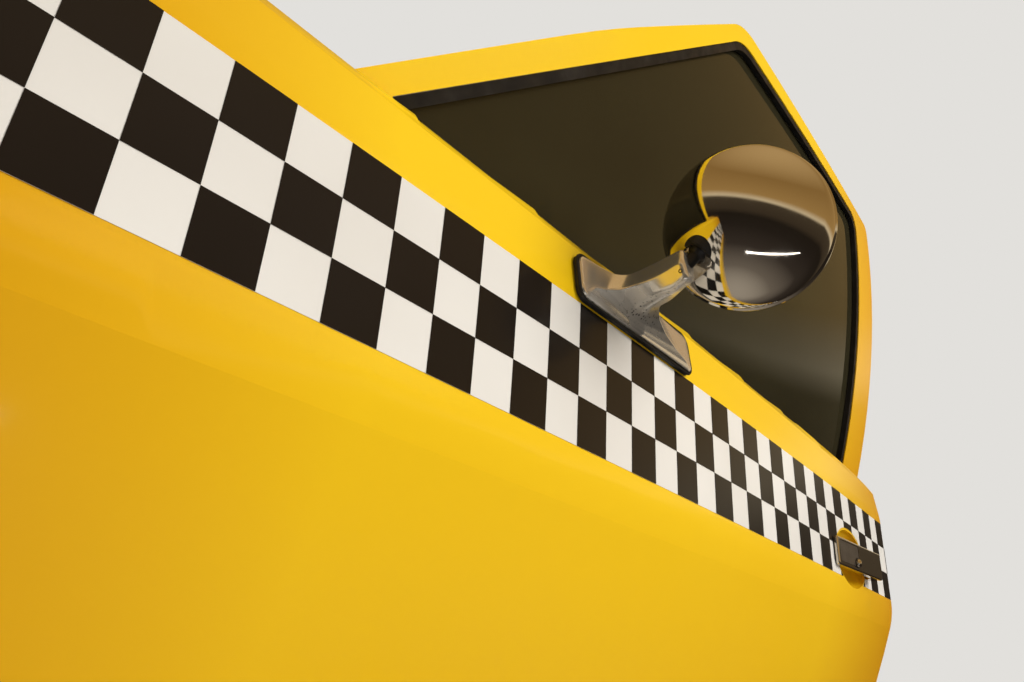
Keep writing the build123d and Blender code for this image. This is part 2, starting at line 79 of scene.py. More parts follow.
# Sections of the foot in mm: height above the side, how far the corners are eased, then the
# corners as (along the door, up the side): front top, front, lower front, lower rear, upper
# rear, top
FOOT_SECTIONS = (
    (3.3, (9, 9, 9, 9, 9, 9), ((-88, 19), (-88, -19), (-10, -19), (94, -19), (94, 19), (-20, 19))),
    (5, (9, 9, 9, 9, 9, 9), ((-88, 19), (-88, -19), (-10, -19), (94, -19), (94, 19), (-20, 19))),
    (6.6, (6, 6, 12, 6, 6, 9), ((-85, 18), (-86, -16), (-10, -18), (88, -13), (78, 16), (-20, 18))),
    (9, (2, 2.5, 14, 3, 3, 6), ((-66, 17), (-77, -9), (-14, -17), (58, -8), (38, 15), (-20, 17))),
    (12.5, (1.6, 2, 16, 2, 2, 5), ((-48, 17), (-64, -6), (-18, -15), (34, -5), (18, 15), (-20, 17))),
    (19, (1.6, 2, 16, 2, 2, 5), ((-37, 19), (-52, -3), (-22, -13), (12, -3), (2, 16), (-18, 19))),
    (28, (1.6, 2, 14, 3, 2, 5), ((-33, 21), (-47, -1), (-28, -13), (-4, -2), (-6, 18), (-18, 21))),
    (43, (1.6, 2, 12, 5, 2, 5), ((-34, 21), (-45, 0), (-36, -15), (-13, -6), (-15, 17), (-24, 21))),
    (57, (1.8, 2.2, 10, 6, 3, 4), ((-38, 19), (-45, 2), (-40, -16), (-24, -10), (-22, 14), (-30, 19))),
    (68, (2.4, 3, 9, 7, 5, 4), ((-42, 17), (-47, 3), (-43, -14), (-29, -10), (-27, 11), (-34, 17))),
)
# Rounded end of the foot, as (rise over the last section, share of its size)
NOSE = ((0, 1), (0.0016, 0.985), (0.003, 0.94), (0.0041, 0.86), (0.0048, 0.74), (0.0052, 0.5))

# Grub screw in the foot's end; each turned piece from here on is rows of (radius, height)
GRUB = ((0.0018, -0.0008), (0.0018, 0.0001), (0.0015, 0.0003), (0.0011, 0.0003), (0.0009, -0.0008))

# Mirror's dome: middle of its rim, axis, rim radius, depth, corner, wall, crown's radius and
# centre, then the angles in degrees where the crown starts by the pole and meets the corner
DOME_AT, DOME_AXIS = (0.514, -0.166, 0.192), (0.92, 0.33, 0.21)
DOME_R, DOME_DEPTH, DOME_CORNER, DOME_WALL = 0.067, 0.044, 0.026, 0.0015
CROWN_R, CROWN_UP = 0.08169, 0.03769
DOME_POLE, DOME_BEND, DOME_STEPS = -89.7, -42.6, 20

# Handle's button, and the dark ring round it, which is also painted shadow under the button, from the
# button's middle
BUTTON = (
    (0.0055, -0.003),
    (0.0053, 0.0024),
    (0.0049, 0.0035),
    (0.0038, 0.0045),
    (0.0022, 0.0052),
    (0.0005, 0.0055),
)
BUTTON_RING_AND_SHADOW = (
    (0.0056, -0.003),
    (0.0062, -0.003),
    (0.0067, 0.0004),
    (0.0063, 0.0010),
    (0.0056, 0.0006),
)

# Hinge bolts: width across flats, distance from the leaf's middle and edge, and the leaf's
# thickness, then the flange and the head as rows in widths
BOLT_W, BOLT_RISE, BOLT_EDGE, LEAF_T = 0.011, 0.018, 0.013, 0.006
BOLT_FLANGE = ((0.82, 0), (0.82, 0.08), (0.6, 0.13))
BOLT_HEAD = ((1, 0.1), (1, 0.46), (0.51, 0.52), (0.3, 0.525))

# Cross-head screws: dome, lift, and the cross's half width, reach and depth as shares of the
# radius, then the rings, the steps from the rim to the middle, and the points of a ring
SCREW_DOME, SCREW_LIFT, CROSS_HALF, CROSS_REACH, CROSS_DEEP = 0.42, 0.02, 0.11, 0.62, 0.34
SCREW_RINGS, SCREW_SHRINK, SCREW_SIDES = 13, 12.6, 48

# Latch plate's screws, then the bezel's: radius, distance from the corner, and how deep they sit
SCREW_R, SCREW_IN_Y, SCREW_IN_Z, SCREW_SINK = 0.0046, 0.007, 0.009, 0.0003
BEZEL_SCREW_R, BEZEL_IN, BEZEL_SINK = 0.0036, 0.011, 0.0002

# Rear wall: rubber buffers at two heights, and a plug at (y, z)
BUFFER_Y, BUFFER_Z, PLUG_AT = -0.045, (0.045, -0.36), (-0.050, -0.20)
BUFFER = (
    (0.010, -0.0005),
    (0.010, 0.001),
    (0.0085, 0.0016),
    (0.008, 0.005),
    (0.0068, 0.0064),
    (0.003, 0.007),
)
PLUG = (
    (0.013, -0.0003),
    (0.013, 0.0009),
    (0.0115, 0.0018),
    (0.009, 0.002),
    (0.0082, 0.0009),
    (0.002, 0.0008),
)

# Seam sealer: inset from the skin's edge, bead, how far the bead stands out as a share of its
# radius, top, corner, spacing of its points, and steps round a corner
SEALER_INSET, SEALER_R, SEALER_OUT, SEALER_TOP = 0.0115, 0.0022, 0.4, 0.095
SEALER_CORNER, SEALER_STEP, SEALER_BENDS = 0.030, 0.012, 8

# Window crank: ring under its hub and cap of its screw
CRANK_RING = ((0.027, -0.0012), (0.027, 0.001), (0.0225, 0.003), (0.0172, 0.0032))
CRANK_CAP = ((0.0075, -0.001), (0.0075, 0.0006), (0.006, 0.0016), (0.003, 0.0021))

# Door card: rolled edge, corner, two seams, and the flutes between them, which fade out
CARD_ROLL, CARD_R = 0.0055, 0.030
SEAMS, SEAM_HALF, SEAM_DEEP = (0.055, -0.205), 0.0030, 0.0022
FLUTE, FLUTE_DEEP, FLUTE_FADE = 0.034, 0.0030, 0.012

# Card's grid: columns round a corner and over a flute; rows over the roll, over half a seam and
# over the whole card, and the least gap between two; then the rows beside a seam, in steps from it
CORNER_COLUMNS, FLUTE_COLUMNS = 10, 12
ROLL_ROWS, SEAM_ROWS, PLAIN_ROWS, ROW_GAP = 6, 4, 44, 0.0004
FADE_ROWS, FADE_STEP = range(4, 12), 0.0014

# Stitches: length, gap, thread, place beside the seam, margin at the card's ends, runs of a row,
# and one stitch's arch as (share along it, rise in thread radii, girth in thread radii)
STITCH, STITCH_GAP, THREAD_R, THREAD_SIDES = 0.0048, 0.0022, 0.00045, 6
STITCH_OFF, STITCH_END, STITCH_RUNS = 0.0055, 0.02, 40
STITCH_ARCH = ((0, -1.2, 0.6), (0.15, 0.5, 1), (0.5, 1, 1.05), (0.85, 0.5, 1), (1, -1.2, 0.6))

# Armrest: voxel and smoothing of its padded skin, how far its sides pull in, and how much of
# that its face does at the ends
PAD_VOXEL, PAD_SMOOTH, PAD_PULL, PAD_FACE = 0.0024, 6, 0.0035, 0.8

# Piping: radius, distance behind the face, corner, steps round it, spacing, and how far it
# stands out of the pad as a share of its radius
PIPING_R, PIPING_IN, PIPING_CORNER, PIPING_BENDS = 0.0014, 0.011, 0.010, 6
PIPING_STEP, PIPING_OUT = 0.006, 0.3

# Sides of a round bead, and how far inboard the rays start that find the card's face
TUBE_SIDES, RAY_FROM = 10, 1

# Camera fitted to the photograph, and the pixel of the grub screw in the foot's nose
EYE = Vector((-0.0055, -0.4757, -0.0785))
RIGHT, DOWN = Vector((0.6208, -0.7134, 0.3250)), Vector((0.3653, -0.1036, -0.9251))
LENS, SENSOR, IMAGE_W, IMAGE_H, CLIP_START = 27.27, 36.0, 1024, 682, 0.01
GRUB_PX = (680.4, 271)

# Lamps that light the object: name, place, target, size and watts
LAMPS = (
    ("key", (1.9, -2.6, 2.8), (0.7, 0, 0.15), (2.4, 2.0), 150),
    ("fill", (-2.6, -3.2, 1.2), (0.5, 0, 0.1), (1.8, 1.8), 6),
    ("back", (1.2, 3.4, 2.0), (0.6, 0, 0), (2.4, 1.8), 80),
)

# Strip lamp that shows only in reflections: its ends, target, width and watts
STRIP_FROM, STRIP_TO = Vector((-0.11, -0.51, -0.43)), Vector((0.55, -2.24, -0.41))
STRIP_TARGET, STRIP_W, STRIP_POWER = (0.5, -0.2, 0.17), 0.03, 1.5

# Floor: width, its middle along the door, drop below it, and between which distances it fades
FLOOR_SIZE, FLOOR_X, FLOOR_DROP, FADE_FROM, FADE_TO = 12, 0.6, 0.002, 1.2, 3.4

# World's strength as diffuse light; seen by the eye, in reflections and through glass it is 1
AMBIENT = 0.42

# Sockets of a Mix node: its share, the two colours and the result
MIX_SHARE, MIX_A, MIX_B, MIX_OUT = 0, 6, 7, 2


def linear(r, g, b):
    """Colour from 0-255 screen values."""
    c = [v / 255 for v in (r, g, b)]
    return tuple(v / 12.92 if v < 0.04045 else ((v + 0.055) / 1.055) ** 2.4 for v in c) + (1.0,)


YELLOW = linear(249, 203, 24)
FILM_WHITE = linear(238, 232, 222)
FILM_BLACK = linear(16, 12, 11)
BACKDROP = linear(226, 224, 220)

# What reflections and glass show of the world, by the sine of the height above the horizon
SURROUNDINGS = (
    (-1.0, linear(176, 168, 158)),
    (-0.85, linear(120, 112, 104)),
    (-0.55, linear(62, 55, 50)),
    (-0.2, linear(44, 38, 33)),
    (0.0, linear(40, 34, 28)),
    (0.10, linear(68, 58, 46)),
    (0.30, linear(78, 68, 54)),
    (0.345, linear(232, 214, 180)),
    (0.43, linear(180, 144, 88)),
    (0.75, linear(158, 123, 71)),
    (1.0, linear(206, 172, 118)),
)


class Shader:
    """A Principled material that is built up with a few procedural layers."""

    def __init__(self, name, colour, rough, **sockets):
        self.mat = bpy.data.materials.new(name)
        self.mat.use_nodes = True
        self.tree = self.mat.node_tree
        self.bsdf = self.tree.nodes["Principled BSDF"]
        self.bsdf.inputs["Base Color"].default_value = colour
        self.bsdf.inputs["Roughness"].default_value = rough
        for socket, value in sockets.items():
            self.bsdf.inputs[socket.replace("_", " ")].default_value = value
        self.place = self.add("ShaderNodeTexCoord").outputs["Object"]
        self.normal = None

    def add(self, kind, **settings):
        """New node with its settings, and values of sockets whose names have _ for a space."""
        node = self.tree.nodes.new(kind)
        for key, value in settings.items():
            if hasattr(node, key):
                setattr(node, key, value)
            else:
                node.inputs[key.replace("_", " ")].default_value = value
        return node

    def link(self, source, target):
        self.tree.links.new(source, target)

    def noise(self, scale, detail=4.0, rough=0.5, stretch=(1, 1, 1)):
        """Noise over the object, from 0 to 1; a larger scale is finer."""
        mapping = self.add("ShaderNodeMapping", Scale=stretch)
        self.link(self.place, mapping.inputs["Vector"])
        node = self.add("ShaderNodeTexNoise", Scale=scale, Detail=detail, Roughness=rough)
        self.link(mapping.outputs["Vector"], node.inputs["Vector"])
        return node.outputs["Fac"]

    def axis(self, name):
        """Place along X, Y or Z, in metres."""
        split = self.add("ShaderNodeSeparateXYZ")
        self.link(self.place, split.inputs["Vector"])
        return split.outputs[name]

    def facing(self, direction):
        """1 where the surface faces the direction, -1 where it faces away."""
        normal = self.add("ShaderNodeNewGeometry").outputs["Normal"]
        node = self.add("ShaderNodeVectorMath", operation="DOT_PRODUCT")
        node.inputs[1].default_value = direction
        self.link(normal, node.inputs[0])
        return node.outputs["Value"]

    def cells(self, scale, feature="F1"):
        """Distance in a pattern of cells over the object."""
        node = self.add("ShaderNodeTexVoronoi", Scale=scale, feature=feature)
        self.link(self.place, node.inputs["Vector"])
        return node.outputs["Distance"]

    def ramp(self, source, low, high, start=0.0, end=1.0):
        """Goes from start to end while the source goes from low to high."""
        node = self.add("ShaderNodeMapRange", From_Min=low, From_Max=high, To_Min=start, To_Max=end)
        self.link(source, node.inputs["Value"])
        return node.outputs["Result"]

    def times(self, a, b):
        """Product of two values."""
        node = self.add("ShaderNodeMath", operation="MULTIPLY")
        self.link(a, node.inputs[0])
        self.link(b, node.inputs[1])
        return node.outputs[0]

    def tint(self, mask, colour):
        """Mixes a colour over the base where the mask is 1."""
        mix = self.add("ShaderNodeMix", data_type="RGBA")
        base = self.bsdf.inputs["Base Color"]
        if base.is_linked:
            self.link(base.links[0].from_socket, mix.inputs[MIX_A])
        else:
            mix.inputs[MIX_A].default_value = base.default_value
        mix.inputs[MIX_B].default_value = colour
        self.link(mask, mix.inputs[MIX_SHARE])
        self.link(mix.outputs[MIX_OUT], base)

    def roughen(self, source):
        """Lets a value set the roughness."""
        self.link(source, self.bsdf.inputs["Roughness"])

    def bump(self, height, distance, strength=1.0):
        """Bump over those before it, with its distance in metres."""
        node = self.add("ShaderNodeBump", Distance=distance, Strength=strength)
        self.link(height, node.inputs["Height"])
        if self.normal:
            self.link(self.normal, node.inputs["Normal"])
        self.normal = node.outputs["Normal"]
        self.link(self.normal, self.bsdf.inputs["Normal"])


def taxi_yellow():
    """Glossy enamel: soft ripples and orange peel, with painted shade that makes it darker and more
    orange low down and towards both ends.
    """
    s = Shader("taxi_yellow", YELLOW, 0.3, Coat_Weight=0.35, Coat_Roughness=0.09)
    s.bsdf.inputs["Specular IOR Level"].default_value = 0.15
    # Painted shade: darker, more orange colour low down and towards the front and rear ends
    s.tint(s.ramp(s.axis("Z"), 0.02, -0.46, 0, 0.45), linear(222, 152, 10))
    s.tint(s.ramp(s.axis("X"), 0.24, 0.02, 0, 0.8), linear(204, 130, 8))
    s.tint(s.ramp(s.axis("X"), 1.0, 1.32, 0, 0.8), linear(206, 134, 8))
    s.tint(s.ramp(s.noise(1.7, 1), 0.3, 0.8, 0, 0.3), linear(238, 178, 20))
    s.roughen(s.ramp(s.noise(6, 1), 0.1, 0.9, 0.25, 0.38))
    s.bump(s.noise(2.6, 1), 0.006, 0.35)
    s.bump(s.noise(150, 1), 0.0002, 0.05)
    return s.mat


def film(name, colour, dirt, amount):
    """Glossy vinyl film with a little uneven grime."""
    s = Shader(name, colour, 0.3, Coat_Weight=0.2, Coat_Roughness=0.1)
    s.bsdf.inputs["Specular IOR Level"].default_value = 0.2
    s.tint(s.ramp(s.noise(6, 1), 0.2, 1.0, 0, amount), dirt)
    s.roughen(s.ramp(s.noise(8, 1), 0.1, 0.9, 0.25, 0.4))
    s.bump(s.noise(150, 1), 0.0002, 0.06)
    return s.mat


def chrome():
    """Bright plating with a few pin-prick pits and a faint haze."""
    s = Shader("chrome", linear(204, 196, 182), 0.06, Metallic=1.0)
    pits = s.ramp(s.noise(1500, 3, 0.6), 0.69, 0.74)
    spots = s.times(pits, s.ramp(s.noise(30, 3), 0.5, 0.66, 0, 0.7))
    s.tint(spots, linear(40, 32, 26))
    s.roughen(s.ramp(s.noise(60, 6), 0.35, 0.85, 0.045, 0.12))
    s.bump(spots, 0.0002, -0.5)
    s.bump(s.noise(9, 2), 0.002, 0.05)
    return s.mat


def cast_chrome():
    """Satin plating. Facing the road it is pale and less metallic in front, which is a painted
    highlight, and further back dull, pitted and darker, which is wear with painted shade.
    """
    s = Shader("chrome_cast", linear(238, 230, 216), 0.1)
    under = s.ramp(s.facing((0.25, -0.35, -0.9)), 0.25, 0.75)
    # Painted highlight: the front of the underside is pale and less metallic
    painted_highlight = s.times(under, s.ramp(s.axis("X"), 0.53, 0.44))
    rear = s.times(under, s.ramp(s.axis("X"), 0.45, 0.57, 0.15, 1.0))
    # Underside further back: real wear and pits, darkened as painted shade as well
    worn_and_shaded = s.times(rear, s.ramp(s.noise(24, 3), 0.3, 0.62, 0.5, 1.0))
    s.tint(worn_and_shaded, linear(88, 82, 76))
    s.link(s.ramp(painted_highlight, 0, 1, 0.84, 0.3), s.bsdf.inputs["Metallic"])
    pits = s.ramp(s.cells(330), 0.34, 0.2)
    spots = s.times(pits, s.times(under, s.ramp(s.noise(40, 3), 0.44, 0.6)))
    s.tint(spots, linear(34, 27, 22))
    s.roughen(s.ramp(worn_and_shaded, 0, 1, 0.24, 0.38))
    s.bump(spots, 0.0004, -0.7)
    s.bump(s.noise(16, 2), 0.002, 0.08)
    return s.mat


def window_glass():
    """Tinted pane in dark olive brown, a painted shade: it is coloured as dark as it looks against a
    dark cab.
    """
    # Painted shade: the dark cab behind the pane is put into its colour
    s = Shader("window_glass", linear(66, 60, 40), 0.02, Transmission_Weight=0.55, IOR=1.2)
    s.bsdf.inputs["Specular IOR Level"].default_value = 0.14
    s.tint(s.ramp(s.noise(3.2, 3), 0.45, 0.75, 0, 0.5), linear(50, 44, 27))
    s.roughen(s.ramp(s.noise(7, 6), 0.5, 0.9, 0.015, 0.07))
    return s.mat


def rubber():
    """Matt black rubber, greyed in places."""
    s = Shader("black_rubber", linear(24, 23, 23), 0.62)
    s.tint(s.ramp(s.noise(40, 6), 0.5, 0.8, 0, 0.35), linear(66, 62, 58))
    s.roughen(s.ramp(s.noise(70, 4), 0.3, 0.7, 0.5, 0.75))
    s.bump(s.noise(1200, 2), 0.0002, 0.5)
    return s.mat


def plastic():
    """Moulded dark brown plastic with a fine texture."""
    s = Shader("dark_plastic", linear(62, 54, 46), 0.42)
    s.tint(s.ramp(s.noise(35, 4), 0.45, 0.8, 0, 0.4), linear(88, 78, 66))
    s.roughen(s.ramp(s.noise(50, 4), 0.3, 0.7, 0.33, 0.5))
    s.bump(s.cells(1500), 0.0002, 0.35)
    return s.mat


def vinyl():
    """Black leather-grain vinyl, a little dusty in its hollows."""
    s = Shader("trim_vinyl", linear(46, 43, 41), 0.42, Sheen_Weight=0.1)
    s.tint(s.ramp(s.noise(5, 4), 0.4, 0.8, 0, 0.4), linear(60, 55, 51))
    s.bump(s.cells(330, "DISTANCE_TO_EDGE"), 0.0006, 0.55)
    s.bump(s.noise(900, 2), 0.0002, 0.25)
    return s.mat


def steel():
    """Zinc-plated steel with yellowish staining."""
    s = Shader("bright_steel", linear(198, 196, 188), 0.3, Metallic=0.9)
    s.tint(s.ramp(s.noise(18, 5), 0.45, 0.75, 0, 0.45), linear(176, 160, 112))
    s.roughen(s.ramp(s.noise(90, 5), 0.3, 0.7, 0.22, 0.42))
    s.bump(s.noise(1500, 2), 0.0001, 0.4)
    return s.mat


def painted_steel():
    """Body colour over rough steel, rubbed through here and there."""
    s = Shader("painted_steel", linear(222, 168, 30), 0.42, Coat_Weight=0.2, Coat_Roughness=0.3)
    s.tint(s.ramp(s.noise(60, 5), 0.6, 0.72, 0, 0.7), linear(74, 56, 34))
    s.roughen(s.ramp(s.noise(40, 5), 0.3, 0.7, 0.34, 0.6))
    s.bump(s.noise(240, 3), 0.0004, 0.3)
    return s.mat


def silvering():
    """Mirror's silvering, a little hazy in places."""
    s = Shader("mirror_silver", linear(238, 240, 240), 0.02, Metallic=1.0)
    s.roughen(s.ramp(s.noise(12, 6), 0.5, 0.9, 0.01, 0.06))
    return s.mat


def black_metal():
    """Black-painted metal of the mirror's ball and grub screw."""
    s = Shader("black_metal", linear(34, 32, 31), 0.38, Metallic=0.5)
    s.roughen(s.ramp(s.noise(80, 5), 0.3, 0.7, 0.28, 0.5))
    s.bump(s.noise(700, 3), 0.0003, 0.3)
    return s.mat


def thread():
    """Waxed sewing thread."""
    s = Shader("grey_thread", linear(74, 69, 64), 0.6, Sheen_Weight=0.3)
    s.tint(s.ramp(s.noise(300, 2), 0.45, 0.7, 0, 0.6), linear(48, 44, 41))
    s.bump(s.noise(2400, 2, 0.5, (0.3, 1, 1)), 0.0001, 0.5)
    return s.mat


MATERIALS = {
    "taxi_yellow": taxi_yellow(),
    "band_white": film("band_white", FILM_WHITE, linear(150, 132, 104), 0.25),
    "band_black": film("band_black", FILM_BLACK, linear(70, 62, 56), 0.12),
    "window_glass": window_glass(),
    "black_rubber": rubber(),
    "painted_steel": painted_steel(),
    "bright_steel": steel(),
    "chrome": chrome(),
    "mirror_silver": silvering(),
    "black_metal": black_metal(),
    "dark_plastic": plastic(),
    "trim_vinyl": vinyl(),
}
CAST, THREAD = cast_chrome(), thread()


class Solid:
    """Collects simple shapes into one mesh."""

    def __init__(self):
        self.verts, self.faces = [], []

    def loft(self, rings, looped=False):
        """Skins closed rings that have the same number of points, with ends capped."""
        start, n = len(self.verts), len(rings[0])
        for ring in rings:
            self.verts += [tuple(p) for p in ring]
        pairs = list(zip(range(len(rings)), range(1, len(rings))))
        if looped:
            pairs.append((len(rings) - 1, 0))
        for a, b in pairs:
            for i in range(n):
                j = (i + 1) % n
                quad = (a * n + i, a * n + j, b * n + j, b * n + i)
                self.faces.append(tuple(start + v for v in quad))
        if not looped:
            self.faces.append(tuple(start + i for i in range(n)))
            self.faces.append(tuple(start + (len(rings) - 1) * n + i for i in range(n)))

    def turn(self, at, axis, profile, steps=32, reach=None):
        """Revolves (radius, height) rows about an axis; reach may limit the radius by angle."""
        turn = Vector(axis).to_track_quat("Z", "Y").to_matrix()
        rings = []
        for r, h in profile:
            ring = []
            for k in range(steps):
                a = 2 * pi * k / steps
                out = min(r, reach(a)) if reach else r
                ring.append(Vector(at) + turn @ Vector((out * cos(a), out * sin(a), h)))
            rings.append(ring)
        self.loft(rings)

    def tube(self, points, r, looped=False):
        """Round bead along a line of points."""
        rings = []
        side = None
        count = len(points)
        for i, point in enumerate(points):
            ahead = points[(i + 1) % count] if looped or i + 1 < count else point
            behind = points[i - 1] if looped or i else point
            along = (ahead - behind).normalized()
            side = side or along.orthogonal()
            side = (side - along * side.dot(along)).normalized()
            up = along.cross(side)
            turns = [2 * pi * k / TUBE_SIDES for k in range(TUBE_SIDES)]
            rings.append([point + (side * cos(a) + up * sin(a)) * r for a in turns])
        self.loft(rings, looped=looped)

    def stitches(self, points, out):
        """Row of arched thread stitches along a line, standing out of the surface."""
        walk = 0.0
        for a, b in zip(points, points[1:]):
            along = (b - a).normalized()
            side = along.cross(out)
            while walk + STITCH < (b - a).length:
                rings = []
                for t, rise, thick in STITCH_ARCH:
                    mid = a + along * (walk + STITCH * t) + out * rise * THREAD_R
                    girth = THREAD_R * thick
                    turns = [2 * pi * k / THREAD_SIDES for k in range(THREAD_SIDES)]
                    rings.append([mid + (side * cos(u) + out * sin(u)) * girth for u in turns])
                self.loft(rings)
                walk += STITCH + STITCH_GAP
            walk = max(0.0, walk - (b - a).length)

    def make(self, name, slot, material=None):
        """Puts the collected shapes in the scene as one piece."""
        mesh = bpy.data.meshes.new(name)
        mesh.from_pydata(self.verts, [], self.faces)
        return added(mesh, name, slot, material)


def added(mesh, name, slot, material=None, body="door"):
    """Puts a mesh in the scene with its normals outward, its slot and its body."""
    shape = bmesh.new()
    shape.from_mesh(mesh)
    bmesh.ops.recalc_face_normals(shape, faces=shape.faces)
    shape.to_mesh(mesh)
    shape.free()
    mesh.materials.clear()
    mesh.materials.append(material or MATERIALS[slot])
    piece = bpy.data.objects.new(name, mesh)
    bpy.context.collection.objects.link(piece)
    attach(piece, body)
    return piece


def shaded(piece, angle=35):
    """Smooth shading that keeps edges sharper than the angle, in degrees."""
    piece.data.shade_smooth()
    piece.data.set_sharp_from_angle(angle=radians(angle))
    return piece


def even_facets(piece):
    """Lets the large facets set the shading, so that they stay flat between rounded edges."""
    normals = piece.modifiers.new("facets", "WEIGHTED_NORMAL")
    normals.keep_sharp = True


def tree_of(mesh):
    """Tree for finding points on a mesh."""
    return BVHTree.FromPolygons([v.co for v in mesh.vertices], [p.vertices for p in mesh.polygons])


def on_shoulder(x, up):
    """Matrix of a place on the shoulder: x along the door, y up the side and z out of it."""
    end_y = BAND_Y + BAND_RUN / 2 * sin(BAND_LEAN) + BLEND_R * cos(BAND_LEAN)
    end_z = BAND_Z + BAND_RUN / 2 * cos(BAND_LEAN) - BLEND_R * sin(BAND_LEAN)
    past = up - BAND_RUN / 2 - BLEND_R * (SHOULDER_LEAN - BAND_LEAN)
    y = end_y - BLEND_R * cos(SHOULDER_LEAN) + past * sin(SHOULDER_LEAN)
    z = end_z + BLEND_R * sin(SHOULDER_LEAN) + past * cos(SHOULDER_LEAN)
    r = PLAN_R - (y - BAND_Y)
    turn = (x - CREST_X) / r
    along = Vector((cos(turn), sin(turn), 0))
    out = Vector((sin(turn) * cos(SHOULDER_LEAN), -cos(turn) * cos(SHOULDER_LEAN), sin(SHOULDER_LEAN)))
    place = Matrix((along, out.cross(along), out)).transposed().to_4x4()
    return Matrix.Translation((x, BAND_Y + PLAN_R - r * cos(turn), z)) @ place


def spline(a, b, c, d, t):
    """Point between b and c on a Catmull-Rom curve."""
    bend = (2 * a - 5 * b + 4 * c - d) * t * t + (3 * b - a - 3 * c + d) * t**3
    return 0.5 * (2 * b + (c - a) * t + bend)


def soft_ring(corners, easing):
    """Points round a polygon, each corner eased by its own length."""
    ring = []
    for i, (corner, r) in enumerate(zip(corners, easing)):
        before, after = corners[i - 1], corners[(i + 1) % len(corners)]
        a = corner + (before - corner) * min(EASE_MOST, r / (before - corner).length)
        b = corner + (after - corner) * min(EASE_MOST, r / (after - corner).length)
        for k in range(EASE_STEPS):
            t = k / (EASE_STEPS - 1)
            ring.append(a * (1 - t) ** 2 + corner * 2 * t * (1 - t) + b * t * t)
    return ring


def foot_rings():
    """Smooth sections up the foot, each as its height and its ring, with a rounded end."""
    rows = [
        (up / MM_PER_M, [r / MM_PER_M for r in easing], [Vector(c) / MM_PER_M for c in corners])
        for up, easing, corners in FOOT_SECTIONS
    ]
    last, sides = len(rows) - 1, range(len(rows[0][2]))
    for i in range(last):
        near = [rows[k] for k in (max(i - 1, 0), i, i + 1, min(i + 2, last))]
        for step in range(FOOT_STEPS):
            t = step / FOOT_STEPS
            height = near[1][0] * (1 - t) + near[2][0] * t
            easing = [near[1][1][k] * (1 - t) + near[2][1][k] * t for k in sides]
            corners = [spline(*(row[2][k] for row in near), t) for k in sides]
            yield height, soft_ring(corners, easing)
    height, easing, corners = rows[last]
    mid = sum(corners, Vector((0, 0))) / len(corners)
    for rise, reach in NOSE:
        yield height + rise, soft_ring([mid + (c - mid) * reach for c in corners], easing)


def rounded(half_x, half_y, r, steps):
    """Points round a rectangle with rounded corners."""
    for side_x, side_y, start in ((1, 1, 0), (-1, 1, pi / 2), (-1, -1, pi), (1, -1, 1.5 * pi)):
        for k in range(steps + 1):
            a = start + k * pi / (2 * steps)
            yield side_x * (half_x - r) + r * cos(a), side_y * (half_y - r) + r * sin(a)


def base_ring(grow, height):
    """Outline of the foot's base, grown outwards, at a height over the side."""
    ring = rounded(BASE_L / 2 + grow, BASE_W / 2 + grow, BASE_R + grow, LIP_STEPS)
    return [Vector((BASE_SHIFT + x, y, height)) for x, y in ring]


def pixel_ray(px, py):
    """Direction from the eye through a pixel of the photograph."""
    focal = LENS / SENSOR * IMAGE_W
    across, below = (px - IMAGE_W / 2) / focal, (py - IMAGE_H / 2) / focal
    return (RIGHT.cross(DOWN) + RIGHT * across + DOWN * below).normalized()


def mirror_foot():
    """Cast foot, the lip of the rubber under it, and the grub screw in its nose."""
    place = on_shoulder(FOOT_X, FOOT_UP)
    foot = Solid()
    foot.loft([[place @ Vector((p.x, p.y, height)) for p in ring] for height, ring in foot_rings()])
    cast = shaded(foot.make("mirror_foot_cast", "chrome", CAST), angle=40)
    even_facets(cast)
    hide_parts("mirror_foot")

    lip = Solid()
    lip.tube([place @ p for p in base_ring(LIP_OUT, LIP_UP)], LIP_R, looped=True)
    shaded(lip.make("mirror_gasket_lip", "black_rubber"))

    at, normal = tree_of(cast.data).ray_cast(EYE, pixel_ray(*GRUB_PX))[:2]
    grub = Solid()
    grub.turn(at, normal, GRUB, steps=24)
    shaded(grub.make("mirror_grub_screw", "black_metal"))


def mirror_dome():
    """Finely turned dome in place of the plain one, with the same crown, corner and wall."""
    shares = [k / DOME_STEPS for k in range(DOME_STEPS + 1)]
    crown = [radians(DOME_POLE + (DOME_BEND - DOME_POLE) * share) for share in shares]
    corner = [radians(DOME_BEND * (1 - share)) for share in shares]
    top = [(CROWN_R * cos(a), CROWN_UP + CROWN_R * sin(a)) for a in crown]
    bend = [(DOME_R - DOME_CORNER + DOME_CORNER * cos(a), DOME_CORNER * sin(a)) for a in corner]
    narrow, shallow = 1 - DOME_WALL / DOME_R, 1 - DOME_WALL / DOME_DEPTH
    inner = [(r * narrow, up * shallow) for r, up in reversed(top[:-1] + bend)]
    dome = Solid()
    dome.turn(DOME_AT, DOME_AXIS, top + bend[1:] + inner, steps=120)
    piece = shaded(dome.make("mirror_dome", "chrome"), angle=50)
    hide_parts("mirror_shell")


def handle_button():
    """Domed push button in place of the plain one, with a dark ring round it that is also painted
    shadow under the button.
    """
    low, high = (Vector(corner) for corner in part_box("handle_lock"))
    face = max(nodes["handle_lock"].data.polygons, key=lambda polygon: polygon.area)
    out = face.normal if face.normal.y < 0 else -face.normal
    button = Solid()
    button.turn((low + high) / 2, out, BUTTON, steps=48)
    dome = shaded(button.make("handle_button", "chrome"))
    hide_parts("handle_lock")
    # Dark rubber ring round the button, which also stands in as painted shadow under it
    ring = Solid()
    ring.turn((low + high) / 2, out, BUTTON_RING_AND_SHADOW, steps=48)
    shaded(ring.make("handle_button_ring_and_shadow", "black_rubber"))


def hexagon(width):
    """Radius by angle of a hexagon, from its width across flats."""
    return lambda a: width / 2 / cos((a + pi / 6) % (pi / 3) - pi / 6)


